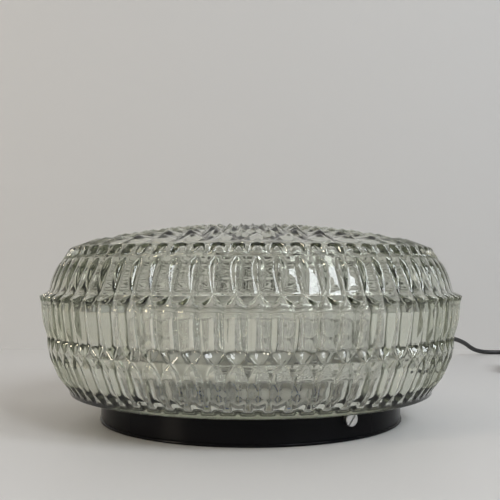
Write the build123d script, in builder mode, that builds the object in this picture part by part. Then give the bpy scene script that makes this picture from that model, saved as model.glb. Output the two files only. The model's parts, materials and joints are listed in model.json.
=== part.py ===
"""A round table lamp: a fluted pressed-glass shade on a low black steel pan.

Millimetres, +Z up, the front towards -Y. The origin is the middle of the pan's underside, on the table.
A lamp bulb lies on its side inside, and a two-core lead with a rocker switch and a plug comes out behind.
"""

from build123d import *
import os
from math import ceil, cos, pi, radians, sin, sqrt, tan

os.makedirs("parts", exist_ok=True)

# Steel pan
pan_r = 100.8
pan_h = 17.6
sheet = 1.0
foot_drop = 1.6
foot_width = 9.0
bead_r = 1.1
mount_circle_r = 55.0
mount_hole_r = 2.6
mount_hole_count = 3
cable_hole_r = 7.0

# Pressed glass shade, from its seat on the pan upwards
seat_gap = 0.2
neck_gap = 3.8
neck_wall = 4.0
neck_depth = 7.0
seat_width = 8.0
rim_rise = 1.6
smooth_band_h = 4.6
lower_tier_h = 26.0
mid_tier_h = 35.4
upper_tier_h = 20.7
top_band_h = 7.3
dome_rise = 15.2
button_rise = 1.7
flange_r = 140.0
button_r = 26.0
glass_wall = 4.4
inner_bend_r = 4.0
rim_inset = 1.0

# How far the shade's other rings lie inside its widest one
rim_step = 18.8
scallop_step = 17.4
lower_crest_step = 6.6
lower_ridge_step = 5.0
mid_crest_step = 2.4
upper_ridge_step = 5.2
upper_crest_step = 8.0
top_crest_step = 12.4
top_rim_step = 14.6
dome_edge_step = 19.1

# Flutes: pointed hips at both ends of each row, a narrow land between the flutes
dome_facets = 36
flutes_per_facet = 2
flute_turn = 1.8
lower_flute_depth = 3.0
mid_flute_depth = 4.0
upper_flute_depth = 3.0
scallop_rise = 2.4
lower_hip_h = 7.0
mid_hip_h = 14.5
flange_drop = 2.8
upper_hip_h = 10.1
top_hip_h = 2.6
lower_land = 0.16
mid_land = 0.18
upper_land = 0.34
band_facet_dip = 0.8
dome_rows = 6
dome_facet_rise = 1.2

# Three slotted screws that hold the shade's neck
screw_angle = -55.7
screw_count = 3
screw_h = 13.0
screw_r = 2.0
screw_head_r = 4.3
screw_head_h = 3.1
slot_width = 1.2
slot_depth = 1.3
slot_tilt = 40.0
screw_tip_gap = 0.3
screw_head_gap = 0.1
running_gap = 0.08
nut_width = 7.0
nut_h = 2.6

# Lamp bulb and holder, lying along X
lamp_h = 45.0
holder_back_x = -75.0
holder_length = 48.0
holder_r = 20.5
holder_back_r = 17.0
holder_back_length = 16.0
holder_rim_fillet = 1.5
socket_floor = 18.0
socket_step = 4.0
terminal_rise = 6.0
terminal_inset = 8.0
terminal_depth = 6.0
shell_r = 13.6
shell_wall = 0.4
shell_inset = 1.0
shell_rise = 2.0
spring_r = 5.0
spring_edge_h = 0.8
nipple_r = 5.0
nipple_bore_r = 3.5
nipple_length = 16.0
nipple_spare = 1.0
nipple_nut_r = 7.75
nipple_nut_h = 3.0
cap_depth = 26.0
cap_r = 13.0
cap_length = 27.0
cap_sheet = 0.4
cap_thread_pitch = 3.6
thread_depth = 0.8
thread_inset = 3.0
insulator_h = 4.0
insulator_r = 9.0
contact_h = 1.0
contact_r = 3.0
bulb_r = 30.0
bulb_length = 108.0
bulb_wall = 0.9
glass_overlap = 8.0
stem_r = 3.0
stem_foot_h = 2.0
stem_flare_h = 10.0
stem_gap = 22.0
filament_r = 0.25
support_reach = 12.0
support_lean = 4.0
bracket_sheet = 1.5
bracket_width = 28.0
bracket_foot = 26.0
bracket_hole_x = 17.0
bracket_corner_r = 13.5

# Small screws into the pan's floor
fixing_r = 1.5
fixing_head_r = 2.8
fixing_head_h = 1.9
fixing_tip_h = 0.6
fit_gap = 0.05

# Terminal block and wires
block_x = 6.0
block_y = 50.0
block_length = 17.0
block_h = 13.0
pole_pitch = 8.0
pole_count = 3
pole_h = 5.0
wire_r = 1.0
block_edge_r = 1.5
tube_r = 1.9
tube_bore_r = 1.25
tube_inset = 2.0
wire_insert = 5.0
clamp_screw_r = 1.2
clamp_screw_drop = 2.0
wire_straight = 12.0
wire_arch_x = 28.0
wire_arch_rise = 6.0
wire_climb_x = 9.0
wire_sag = 14.0
wire_shift = 8.0
core_bend_r = 3.0
core_side = 1.3
core_free = 6.0
tag_h = 0.8
tag_r = 4.0
tag_tongue_length = 6.0
tag_tongue_width = 3.0
earth_x = -40.0
earth_y = 68.0

# Lead
cord_r = 2.5
exit_angle = 55.0
exit_h = 7.6
sleeve_length = 24.0
sleeve_root_r = 4.2
sleeve_tip_r = 3.3
sleeve_flange_r = 5.4
sleeve_hole_r = 4.2
sleeve_flange_h = 1.8
sleeve_shoulder_h = 0.6
collar_h = 1.6
collar_drop = 0.4
grip_inset = 20.0
grip_width = 22.0
grip_length = 8.0
grip_cover = 2.5
tail_inset = 32.0
sleeve_straight = 19.0
switch_straight = 25.0
side_straight = 26.0
corner_share = 0.45

# Switch on the lead
switch_x = 272.0
switch_y = 235.0
switch_heading = 252.0
switch_length = 62.0
switch_width = 28.0
switch_h = 18.0
switch_split_h = 8.0
switch_wall = 1.8
switch_axis_h = 7.0
rocker_length = 20.0
rocker_width = 11.0
rocker_gap = 1.0
rocker_axle_r = 1.2
rocker_axle_h = 13.0
rocker_tilt = 8.0
rocker_rise = 1.2
rocker_dip = 1.4
rocker_taper = 0.8
rocker_foot_half = 3.0
rocker_foot_h = 2.6
rocker_edge_r = 0.6
axle_boss = 2.0
shell_corner_r = 6.0
shell_edge_r = 3.0
switch_screw_inset = 9.0
switch_screw_r = 1.2
switch_screw_head_r = 2.3
switch_screw_sink = 0.4
switch_screw_bite = 4.5
switch_slot_width = 0.7
switch_boss_r = 3.0
contact_x = 9.0
contact_side = 6.5
contact_length = 10.0
contact_width = 5.0
contact_rise = 6.0
contact_sheet = 0.8
core_end_gap = 2.0

# Coil and plug
coil_x = 250.0
coil_y = 10.0
coil_turns = 5.5
coil_inner_r = 21.0
coil_gap = 0.6
coil_lift = 1.0
coil_lead_in = 35.0
coil_tail = 38.0
tie_turn = 0.25
tie_wall = 0.8
tie_width = 4.0
tie_gap = 0.25
boot_length = 22.0
plug_length = 36.0
plug_width = 35.0
plug_back_width = 20.0
plug_taper = 5.0
plug_grip = 10.0
plug_edge_r = 2.0
pin_r = 2.0
pin_length = 19.0
pin_spacing = 18.6
pin_root = 8.0
pin_edge_r = 1.0

# Worked-out sizes
flute_count = dome_facets * flutes_per_facet
flute_pitch = 360 / flute_count
rim_r = flange_r - rim_step
scallop_r = flange_r - scallop_step
lower_crest_r = flange_r - lower_crest_step
lower_ridge_r = flange_r - lower_ridge_step
mid_crest_r = flange_r - mid_crest_step
upper_ridge_r = flange_r - upper_ridge_step
upper_crest_r = flange_r - upper_crest_step
top_crest_r = flange_r - top_crest_step
top_rim_r = flange_r - top_rim_step
dome_edge_r = flange_r - dome_edge_step
seat_h = pan_h + seat_gap
neck_r = pan_r - sheet - neck_gap
neck_bottom_h = seat_h - neck_depth
rim_h = seat_h + rim_rise
scallop_h = rim_h + smooth_band_h
lower_ridge_h = scallop_h + lower_tier_h
upper_ridge_h = lower_ridge_h + mid_tier_h
top_rim_h = upper_ridge_h + upper_tier_h
dome_edge_h = top_rim_h + top_band_h
crown_h = dome_edge_h + dome_rise
dome_sphere_r = (dome_edge_r**2 + dome_rise**2) / (2 * dome_rise)
floor_h = foot_drop + sheet
screw_angles = [screw_angle + index * 360 / screw_count for index in range(screw_count)]
bracket_points = [(holder_back_x + bracket_hole_x, side * bracket_width / 4) for side in (-1, 1)]
grip_r = pan_r - grip_inset
tail_r = pan_r - tail_inset
cord_way = (cos(radians(exit_angle)), sin(radians(exit_angle)))
grip_hole_y = grip_width / 2 - fixing_head_r
grip_points = [
    (
        grip_r * cord_way[0] - side * grip_hole_y * cord_way[1],
        grip_r * cord_way[1] + side * grip_hole_y * cord_way[0],
    )
    for side in (-1, 1)
]
block_points = [(block_x, block_y + pole_pitch / 2)]
earth_points = [(earth_x, earth_y)]
fixing_points = bracket_points + grip_points + block_points + earth_points


def polar(angle, radius, height):
    """The point at an angle in degrees from +X about the lamp's middle."""
    return Vector(radius * cos(radians(angle)), radius * sin(radians(angle)), height)


def radial_plane(angle, radius, height):
    """A plane that faces outward at that point, its local Y pointing up."""
    outward = polar(angle, 1, 0)
    return Plane(origin=polar(angle, radius, height), x_dir=(-outward.Y, outward.X, 0), z_dir=outward)


def sagitta(half_width, radius):
    """How far an arc of that radius falls away over half a chord."""
    return radius - sqrt(radius**2 - half_width**2)


def dome_height(radius, depth=0.0):
    """Height of the dome's sphere, or of one that lies deeper in the glass."""
    return crown_h - dome_sphere_r + sqrt((dome_sphere_r - depth) ** 2 - radius**2)


def flute_point(step, radius, height):
    """A point of the shade, its angle counted in flutes from the first groove."""
    return polar(flute_turn + step * flute_pitch, radius, height)


def facet(*points):
    """A flat face through the points."""
    return Face(Wire.make_polygon(points, close=True))


def node_ring(radius, height):
    """The points where the grooves end on a ridge."""
    return [flute_point(step, radius, height) for step in range(flute_count)]


def flute_ring(depth, crest_r, crest_h, land, groove_shift=0.0):
    """One groove point and the two edges of the next land, for every flute."""
    half = land / 2
    return [
        (
            flute_point(step, crest_r - depth, crest_h + groove_shift),
            flute_point(step + 0.5 - half, crest_r, crest_h),
            flute_point(step + 0.5 + half, crest_r, crest_h),
        )
        for step in range(flute_count)
    ]


def hip_faces(nodes, flutes):
    """The flutes' pointed ends between a ridge and the full-depth flutes."""
    faces = []
    for step, (groove, left, right) in enumerate(flutes):
        following = (step + 1) % flute_count
        faces.append(facet(nodes[step], groove, left))
        faces.append(facet(nodes[step], left, right, nodes[following]))
        faces.append(facet(nodes[following], right, flutes[following][0]))
    return faces


def flute_faces(lower, upper):
    """The flutes' sides and lands between two rings of flute points."""
    faces = []
    for step, ((groove_0, left_0, right_0), (groove_1, left_1, right_1)) in enumerate(zip(lower, upper)):
        following = (step + 1) % flute_count
        next_0, next_1 = lower[following][0], upper[following][0]
        faces.append(facet(groove_0, left_0, left_1))
        faces.append(facet(groove_0, left_1, groove_1))
        faces.append(facet(left_0, right_0, right_1, left_1))
        faces.append(facet(right_0, next_0, right_1))
        faces.append(facet(next_0, next_1, right_1))
    return faces


def band_faces(lower, upper):
    """Shallow four-sided pyramids, point inward, between two rings of nodes."""
    faces = []
    for step in range(flute_count):
        following = (step + 1) % flute_count
        middle = flute_point(
            step + 0.5,
            (top_rim_r + dome_edge_r) / 2 - band_facet_dip,
            (top_rim_h + dome_edge_h) / 2 - band_facet_dip,
        )
        corners = [lower[step], lower[following], upper[following], upper[step]]
        for corner in range(4):
            faces.append(facet(corners[corner], corners[(corner + 1) % 4], middle))
    return faces


def dome_faces(edge):
    """Staggered rows of four-sided facets from the dome's edge to its middle button."""
    row_step = (dome_edge_r - button_r) / dome_rows

    def corner(row, place, rise=0.0):
        radius = dome_edge_r - (row + 1) * row_step
        return flute_point(place * flutes_per_facet / 2, radius, dome_height(radius) + rise)

    faces = []
    apex = Vector(0, 0, crown_h + button_rise)
    last = dome_rows - 1
    for place in range(1, 2 * dome_facets, 2):
        first = (place - 1) * flutes_per_facet // 2
        for step in range(first, first + flutes_per_facet):
            faces.append(facet(edge[step], edge[(step + 1) % flute_count], corner(0, place)))
        fan_end = edge[(first + flutes_per_facet) % flute_count]
        faces.append(facet(corner(0, place), fan_end, corner(0, place + 2)))
        faces.append(facet(corner(0, place), corner(0, place + 2), corner(1, place + 1)))
    for row in range(dome_rows - 2):
        for place in range((row + 1) % 2, 2 * dome_facets, 2):
            middle = corner(row + 1, place, dome_facet_rise)
            ring = [
                corner(row, place),
                corner(row + 1, place + 1),
                corner(row + 2, place),
                corner(row + 1, place - 1),
            ]
            for side in range(4):
                faces.append(facet(ring[side], ring[(side + 1) % 4], middle))
    for place in range((last + 1) % 2, 2 * dome_facets, 2):
        faces.append(facet(corner(last, place), corner(last, place + 2), corner(last - 1, place + 1)))
        faces.append(facet(corner(last, place), corner(last, place + 2), apex))
    return faces


# Glass shade
low_rim = flute_ring(0, rim_r, rim_h, lower_land)
scallop = flute_ring(0, scallop_r, scallop_h, lower_land, scallop_rise)
lower_top = flute_ring(lower_flute_depth, lower_crest_r, lower_ridge_h - lower_hip_h, lower_land)
lower_ridge = node_ring(lower_ridge_r, lower_ridge_h)
mid_bottom = flute_ring(mid_flute_depth, mid_crest_r, lower_ridge_h + mid_hip_h, mid_land)
mid_top = flute_ring(mid_flute_depth, flange_r, upper_ridge_h - flange_drop, mid_land)
upper_ridge = node_ring(upper_ridge_r, upper_ridge_h)
upper_bottom = flute_ring(upper_flute_depth, upper_crest_r, upper_ridge_h + upper_hip_h, upper_land)
upper_top = flute_ring(upper_flute_depth, top_crest_r, top_rim_h - top_hip_h, upper_land)
top_rim = node_ring(top_rim_r, top_rim_h)
dome_edge = node_ring(dome_edge_r, dome_edge_h)

outer_faces = [facet(*[point for trio in low_rim for point in trio])]
outer_faces += flute_faces(low_rim, scallop) + flute_faces(scallop, lower_top)
outer_faces += hip_faces(lower_ridge, lower_top) + hip_faces(lower_ridge, mid_bottom)
outer_faces += flute_faces(mid_bottom, mid_top) + hip_faces(upper_ridge, mid_top)
outer_faces += hip_faces(upper_ridge, upper_bottom) + flute_faces(upper_bottom, upper_top)
outer_faces += hip_faces(top_rim, upper_top) + band_faces(top_rim, dome_edge) + dome_faces(dome_edge)

# The inside is smooth: it follows the deepest grooves one glass wall further in
inner_dome_r = dome_edge_r - 2 * glass_wall - band_facet_dip
inner_shoulder_r = top_rim_r - glass_wall - band_facet_dip
inner_upper_r = upper_crest_r - upper_flute_depth - glass_wall
inner_mid_r = flange_r - mid_flute_depth - glass_wall
inner_lower_r = lower_crest_r - lower_flute_depth - glass_wall
inner_neck_r = neck_r - neck_wall

with BuildPart() as glass_shade:
    add(Solid(Shell(outer_faces)))
    with BuildSketch(Plane.XZ):
        with BuildLine():
            rim_edge, seat_edge = (rim_r - rim_inset, rim_h), (neck_r + seat_width, seat_h)
            Polyline((0, rim_h), rim_edge, seat_edge, (0, seat_h), close=True)
        make_face()
    revolve(axis=Axis.Z)
    with BuildSketch(Plane.XZ):
        with BuildLine():
            dome_end = (inner_dome_r, dome_height(inner_dome_r, glass_wall))
            dome_middle = (inner_dome_r / 2, dome_height(inner_dome_r / 2, glass_wall))
            dome_arc = ThreePointArc((0, dome_height(0, glass_wall)), dome_middle, dome_end)
            wall = FilletPolyline(
                dome_end,
                (inner_shoulder_r - glass_wall, top_rim_h - glass_wall),
                (inner_upper_r, upper_ridge_h + glass_wall),
                (inner_mid_r, upper_ridge_h - flange_drop - glass_wall),
                (mid_crest_r - mid_flute_depth - glass_wall, lower_ridge_h + mid_hip_h),
                (inner_lower_r, lower_ridge_h - lower_hip_h),
                (scallop_r - 2 * glass_wall, scallop_h + glass_wall / 2),
                (inner_neck_r, rim_h + glass_wall / 2),
                (inner_neck_r, neck_bottom_h),
                radius=inner_bend_r,
            )
            Polyline(wall @ 1, (0, neck_bottom_h), dome_arc @ 0)
        make_face()
    revolve(axis=Axis.Z, mode=Mode.SUBTRACT)
glass_shade.part.label = "glass_shade"
export_step(glass_shade.part, "parts/glass_shade.step")

# The shade's plain neck: the same glass on the real lamp, a solid of its own beside the screws
with BuildPart() as shade_neck:
    with BuildSketch(Plane.XY.offset(neck_bottom_h)):
        Circle(neck_r)
        Circle(inner_neck_r, mode=Mode.SUBTRACT)
    extrude(amount=seat_h - neck_bottom_h)
    fillet(shade_neck.edges().group_by(Axis.Z)[0], neck_wall / 4)
shade_neck.part.label = "shade_neck"
export_step(shade_neck.part, "parts/shade_neck.step")

# Steel pan, pressed from sheet, with a rolled bead at its foot
floor_end = pan_r - sheet - foot_width
exit_side = Vector(-cord_way[1], cord_way[0], 0)
exit_axis = Axis((0, 0, exit_h), polar(exit_angle, 1, 0))

with BuildPart() as base_pan:
    with BuildSketch(Plane.XZ):
        with BuildLine():
            Polyline(
                (0, foot_drop),
                (floor_end - foot_drop, foot_drop),
                (floor_end, 0),
                (pan_r, 0),
                (pan_r, pan_h),
                (pan_r - sheet, pan_h),
                (pan_r - sheet, sheet),
                (floor_end + sheet / 2, sheet),
                (floor_end - foot_drop + sheet / 2, floor_h),
                (0, floor_h),
                close=True,
            )
        make_face()
        with Locations((pan_r - sheet / 4, bead_r)):
            Circle(bead_r)
    revolve(axis=Axis.Z)
    for angle in screw_angles:
        with Locations(radial_plane(angle, pan_r, screw_h)):
            Cylinder(screw_r + running_gap, 4 * sheet, mode=Mode.SUBTRACT)
    with Locations(radial_plane(exit_angle, pan_r, exit_h)):
        Cylinder(sleeve_hole_r, 4 * sheet, mode=Mode.SUBTRACT)
    with BuildSketch():
        Circle(cable_hole_r)
        with PolarLocations(mount_circle_r, mount_hole_count, start_angle=-90):
            Circle(mount_hole_r)
        with Locations(*fixing_points):
            Circle(fixing_r + fit_gap)
    extrude(amount=2 * floor_h, mode=Mode.SUBTRACT)
base_pan.part.label = "base_pan"
export_step(base_pan.part, "parts/base_pan.step")

# Square nuts welded behind the wall, and the slotted screws that pinch the shade's neck
nut_face_r = pan_r - sheet - sagitta(nut_width / 2, pan_r - sheet) - fit_gap
with BuildPart() as clamp_nuts:
    for angle in screw_angles:
        with BuildSketch(radial_plane(angle, nut_face_r, screw_h)):
            Rectangle(nut_width, nut_width)
            Circle(screw_r + running_gap, mode=Mode.SUBTRACT)
        extrude(amount=-nut_h)
clamp_nuts.part.label = "clamp_nuts"
export_step(clamp_nuts.part, "parts/clamp_nuts.step")

screw_reach = pan_r - neck_r - screw_tip_gap
for index, angle in enumerate(screw_angles):
    with BuildPart() as shade_screw:
        with BuildSketch(radial_plane(angle, pan_r + screw_head_gap, screw_h)):
            Circle(screw_head_r)
        extrude(amount=screw_head_h)
        fillet(shade_screw.edges().sort_by_distance(Vector(0, 0, screw_h))[-1], screw_head_h / 4)
        with BuildSketch(radial_plane(angle, pan_r + screw_head_gap, screw_h)):
            Circle(screw_r)
        extrude(amount=-screw_reach - screw_head_gap)
        tip = shade_screw.edges().filter_by(GeomType.CIRCLE).sort_by_distance(Vector(0, 0, screw_h))[0]
        chamfer(tip, screw_r / 4)
        with BuildSketch(radial_plane(angle, pan_r + screw_head_gap + screw_head_h, screw_h)):
            Rectangle(slot_width, 3 * screw_head_r, rotation=-slot_tilt)
        extrude(amount=-slot_depth, mode=Mode.SUBTRACT)
    shade_screw.part.label = f"shade_screw_{index + 1}"
    export_step(shade_screw.part, f"parts/shade_screw_{index + 1}.step")

# Bent steel bracket that carries the lampholder
holder_axis = Axis((holder_back_x, 0, lamp_h), (1, 0, 0))
holder_plane = Plane(origin=(holder_back_x, 0, lamp_h), x_dir=(1, 0, 0), z_dir=(0, -1, 0))
bracket_back_x = holder_back_x - bracket_sheet

with BuildPart() as lamp_bracket:
    with BuildSketch(Plane.XZ):
        with BuildLine():
            Polyline(
                (bracket_back_x, floor_h),
                (bracket_back_x + bracket_foot, floor_h),
                (bracket_back_x + bracket_foot, floor_h + bracket_sheet),
                (holder_back_x, floor_h + bracket_sheet),
                (holder_back_x, lamp_h + bracket_width / 2),
                (bracket_back_x, lamp_h + bracket_width / 2),
                close=True,
            )
        make_face()
    extrude(amount=bracket_width / 2, both=True)
    top_corners = lamp_bracket.edges().filter_by(Axis.X).group_by(Axis.Z)[-1]
    fillet(top_corners, bracket_corner_r)
    bend = lamp_bracket.edges().filter_by(Axis.Y).sort_by_distance(Vector(bracket_back_x, 0, floor_h))[0]
    fillet(bend, bracket_sheet)
    with BuildSketch(Plane.YZ.offset(bracket_back_x)):
        with Locations((0, lamp_h)):
            Circle(nipple_r + fit_gap)
    extrude(amount=bracket_sheet, mode=Mode.SUBTRACT)
    with BuildSketch(Plane.XY.offset(floor_h)):
        with Locations(*bracket_points):
            Circle(fixing_r + fit_gap)
    extrude(amount=bracket_sheet, mode=Mode.SUBTRACT)
lamp_bracket.part.label = "lamp_bracket"
export_step(lamp_bracket.part, "parts/lamp_bracket.step")


def floor_screw(points, seat):
    """Round-headed screws through a piece whose top is at that height, down into the pan's floor."""
    with BuildSketch(Plane.XY.offset(fixing_tip_h)) as shafts:
        with Locations(*points):
            Circle(fixing_r)
    extrude(shafts.sketch, amount=seat - fixing_tip_h)
    with BuildSketch(Plane.XY.offset(seat)) as heads:
        with Locations(*points):
            Circle(fixing_head_r)
    tops = extrude(heads.sketch, amount=fixing_head_h).edges().filter_by(GeomType.CIRCLE)
    fillet(tops.group_by(Axis.Z)[-1], fixing_head_h / 3)
    with BuildSketch(Plane.XY.offset(seat + fixing_head_h)) as slots:
        with Locations(*points):
            Rectangle(3 * fixing_head_r, fixing_head_h / 3, rotation=slot_tilt)
    extrude(slots.sketch, amount=-fixing_head_h / 2, mode=Mode.SUBTRACT)


with BuildPart() as bracket_screws:
    floor_screw(bracket_points, floor_h + bracket_sheet)
bracket_screws.part.label = "bracket_screws"
export_step(bracket_screws.part, "parts/bracket_screws.step")

# Glazed holder, its brass screw shell and the springy middle contact
with BuildPart() as lampholder:
    with BuildSketch(holder_plane):
        with BuildLine():
            Polyline(
                (0, nipple_r + fit_gap),
                (0, holder_back_r),
                (holder_back_length, holder_back_r),
                (holder_back_length, holder_r),
                (holder_length, holder_r),
                (holder_length, shell_r + shell_wall + fit_gap),
                (socket_floor, shell_r + shell_wall + fit_gap),
                (socket_floor, fixing_r + fit_gap),
                (socket_floor - socket_step, fixing_r + fit_gap),
                (socket_floor - socket_step, nipple_r + fit_gap),
                close=True,
            )
        make_face()
    revolve(axis=holder_axis)
    fillet(lampholder.edges().filter_by(GeomType.CIRCLE).group_by(SortBy.RADIUS)[-1], holder_rim_fillet)
    for rise in (-terminal_rise, terminal_rise):
        terminal_plane = Plane(
            origin=(holder_back_x + terminal_inset, holder_back_r, lamp_h + rise),
            x_dir=(1, 0, 0),
            z_dir=(0, 1, 0),
        )
        with BuildSketch(terminal_plane):
            Circle(wire_r + 2 * fit_gap)
        extrude(amount=-terminal_depth - wire_r, mode=Mode.SUBTRACT)
lampholder.part.label = "lampholder"
export_step(lampholder.part, "parts/lampholder.step")

shell_start = socket_floor + shell_rise
shell_end = holder_length - shell_inset
with BuildPart() as socket_shell:
    with BuildSketch(holder_plane):
        with Locations(((shell_start + shell_end) / 2, shell_r + shell_wall / 2)):
            Rectangle(shell_end - shell_start, shell_wall)
    revolve(axis=holder_axis)
socket_shell.part.label = "socket_shell"
export_step(socket_shell.part, "parts/socket_shell.step")

cap_start = holder_length - cap_depth
with BuildPart() as middle_contact:
    with BuildSketch(holder_plane):
        with BuildLine():
            Polyline(
                (socket_floor - socket_step + fit_gap, 0),
                (socket_floor - socket_step + fit_gap, fixing_r),
                (socket_floor, fixing_r),
                (socket_floor, spring_r),
                (socket_floor + spring_edge_h, spring_r),
                (cap_start - fit_gap, fixing_r),
                (cap_start - fit_gap, 0),
                close=True,
            )
        make_face()
    revolve(axis=holder_axis)
middle_contact.part.label = "middle_contact"
export_step(middle_contact.part, "parts/middle_contact.step")

nipple_start = -bracket_sheet - nipple_nut_h - nipple_spare
with BuildPart() as holder_nipple:
    with BuildSketch(holder_plane):
        with Locations((nipple_start + nipple_length / 2, (nipple_r + nipple_bore_r) / 2)):
            Rectangle(nipple_length, nipple_r - nipple_bore_r)
    revolve(axis=holder_axis)
holder_nipple.part.label = "holder_nipple"
export_step(holder_nipple.part, "parts/holder_nipple.step")

with BuildPart() as nipple_nut:
    with BuildSketch(Plane(origin=(bracket_back_x, 0, lamp_h), z_dir=(-1, 0, 0))):
        RegularPolygon(nipple_nut_r, 6)
        Circle(nipple_r + fit_gap, mode=Mode.SUBTRACT)
    extrude(amount=nipple_nut_h)
nipple_nut.part.label = "nipple_nut"
export_step(nipple_nut.part, "parts/nipple_nut.step")

# Lamp bulb: threaded cap, its insulator, glass envelope, stem and filament
cap_shoulder = cap_start + insulator_h
cap_rim = cap_start + cap_length
first_thread = cap_shoulder + thread_inset
thread_count = int((cap_rim - first_thread - thread_inset / 2) / cap_thread_pitch)
thread_points = [
    (first_thread + half_turn * cap_thread_pitch / 2, cap_r - thread_depth * (1 - half_turn % 2))
    for half_turn in range(2 * thread_count + 1)
]
neck_glass_r = cap_r - thread_depth - cap_sheet - fit_gap

with BuildPart() as bulb_cap:
    with BuildSketch(holder_plane):
        with BuildLine():
            Polyline(
                (cap_shoulder, 0),
                (cap_shoulder, insulator_r),
                *thread_points,
                (cap_rim, cap_r - thread_depth),
                (cap_rim, cap_r - thread_depth - cap_sheet),
                (first_thread, cap_r - thread_depth - cap_sheet),
                (cap_shoulder + cap_sheet, insulator_r - cap_sheet),
                (cap_shoulder + cap_sheet, 0),
                close=True,
            )
        make_face()
    revolve(axis=holder_axis)
bulb_cap.part.label = "bulb_cap"
export_step(bulb_cap.part, "parts/bulb_cap.step")

with BuildPart() as cap_insulator:
    with BuildSketch(holder_plane):
        with BuildLine():
            Polyline(
                (cap_start + contact_h, 0),
                (cap_start + contact_h, contact_r + contact_h),
                (cap_shoulder, insulator_r),
                (cap_shoulder, 0),
                close=True,
            )
        make_face()
    revolve(axis=holder_axis)
cap_insulator.part.label = "cap_insulator"
export_step(cap_insulator.part, "parts/cap_insulator.step")

with BuildPart() as bulb_contact:
    with BuildSketch(Plane.YZ.offset(holder_back_x + cap_start)):
        with Locations((0, lamp_h)):
            Circle(contact_r)
    extrude(amount=contact_h)
bulb_contact.part.label = "bulb_contact"
export_step(bulb_contact.part, "parts/bulb_contact.step")

nose_x = cap_start + bulb_length
ball_x = nose_x - bulb_r
waist_bend_r = bulb_r
waist_reach = sqrt((bulb_r + waist_bend_r) ** 2 - (neck_glass_r + waist_bend_r) ** 2)
glass_start = cap_rim - glass_overlap


def bulb_outline(inset):
    """Half of the bulb's outline, moved inward: neck, waist and ball, closed along the axis."""
    share = (bulb_r - inset) / (bulb_r + waist_bend_r)
    touch = (ball_x - waist_reach * share, (neck_glass_r + waist_bend_r) * share)
    with BuildLine() as outline:
        neck = Line((glass_start, neck_glass_r - inset), (ball_x - waist_reach, neck_glass_r - inset))
        waist = TangentArc(neck @ 1, touch, tangent=neck % 1)
        ball = TangentArc(touch, (nose_x - inset, 0), tangent=waist % 1)
        Polyline(ball @ 1, (glass_start, 0), neck @ 0)
    return outline.edges()


with BuildPart() as bulb_glass:
    with BuildSketch(holder_plane):
        make_face(bulb_outline(0))
    revolve(axis=holder_axis)
    with BuildSketch(holder_plane):
        make_face(bulb_outline(bulb_wall))
    revolve(axis=holder_axis, mode=Mode.SUBTRACT)
bulb_glass.part.label = "bulb_glass"
export_step(bulb_glass.part, "parts/bulb_glass.step")

stem_end = ball_x - stem_gap
with BuildPart() as bulb_stem:
    with BuildSketch(holder_plane):
        with BuildLine():
            Polyline(
                (glass_start, 0),
                (glass_start, neck_glass_r - bulb_wall - fit_gap),
                (glass_start + stem_foot_h, neck_glass_r - bulb_wall - fit_gap),
                (glass_start + stem_flare_h, stem_r),
                (stem_end, stem_r),
                (stem_end, 0),
                close=True,
            )
        make_face()
    revolve(axis=holder_axis)
bulb_stem.part.label = "bulb_stem"
export_step(bulb_stem.part, "parts/bulb_stem.step")

# Half of the filament and its two supports, from the stem to the middle of the ball
half_filament = [
    (stem_end + fit_gap * 2, stem_r / 3),
    (stem_end + stem_r, stem_r * 2 / 3),
    (ball_x, support_reach),
    (ball_x + support_lean, support_reach / 2),
]
filament_points = [(along, -rise) for along, rise in half_filament]
filament_points += [(ball_x + support_lean / 2, 0)] + half_filament[::-1]
with BuildPart() as bulb_filament:
    with BuildLine() as filament_path:
        corners = [(holder_back_x + along, 0, lamp_h + rise) for along, rise in filament_points]
        FilletPolyline(*corners, radius=1)
    with BuildSketch(Plane(origin=filament_path.wire() @ 0, z_dir=filament_path.wire() % 0)):
        Circle(filament_r)
    sweep(path=filament_path.wire())
bulb_filament.part.label = "bulb_filament"
export_step(bulb_filament.part, "parts/bulb_filament.step")

# Terminal block on the floor: insulating body, brass tubes and clamping screws
pole_ys = [block_y + (pole - (pole_count - 1) / 2) * pole_pitch for pole in range(pole_count)]
block_width = pole_count * pole_pitch + tube_inset
clamp_xs = [block_x - block_length / 4, block_x + block_length / 4]
clamp_points = [(x, y) for x in clamp_xs for y in pole_ys]
clamp_low_h = floor_h + pole_h + wire_r + fit_gap
clamp_high_h = floor_h + block_h - clamp_screw_drop

with BuildPart() as terminal_block:
    with BuildSketch(Plane.XY.offset(floor_h)):
        with Locations((block_x, block_y)):
            Rectangle(block_length, block_width)
    extrude(amount=block_h)
    fillet(terminal_block.edges().filter_by(Axis.X).group_by(Axis.Z)[-1], block_edge_r)
    with BuildSketch(Plane.YZ.offset(block_x - block_length / 2)):
        with Locations(*[(y, floor_h + pole_h) for y in pole_ys]):
            Circle(tube_r + fit_gap)
    extrude(amount=block_length, mode=Mode.SUBTRACT)
    with BuildSketch(Plane.XY.offset(floor_h + pole_h)):
        with Locations(*clamp_points):
            Circle(clamp_screw_r + 2 * fit_gap)
    extrude(amount=block_h, mode=Mode.SUBTRACT)
    with BuildSketch(Plane.XY.offset(floor_h)):
        with Locations(*block_points):
            Circle(fixing_r + fit_gap)
    extrude(amount=block_h, mode=Mode.SUBTRACT)
terminal_block.part.label = "terminal_block"
export_step(terminal_block.part, "parts/terminal_block.step")

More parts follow.
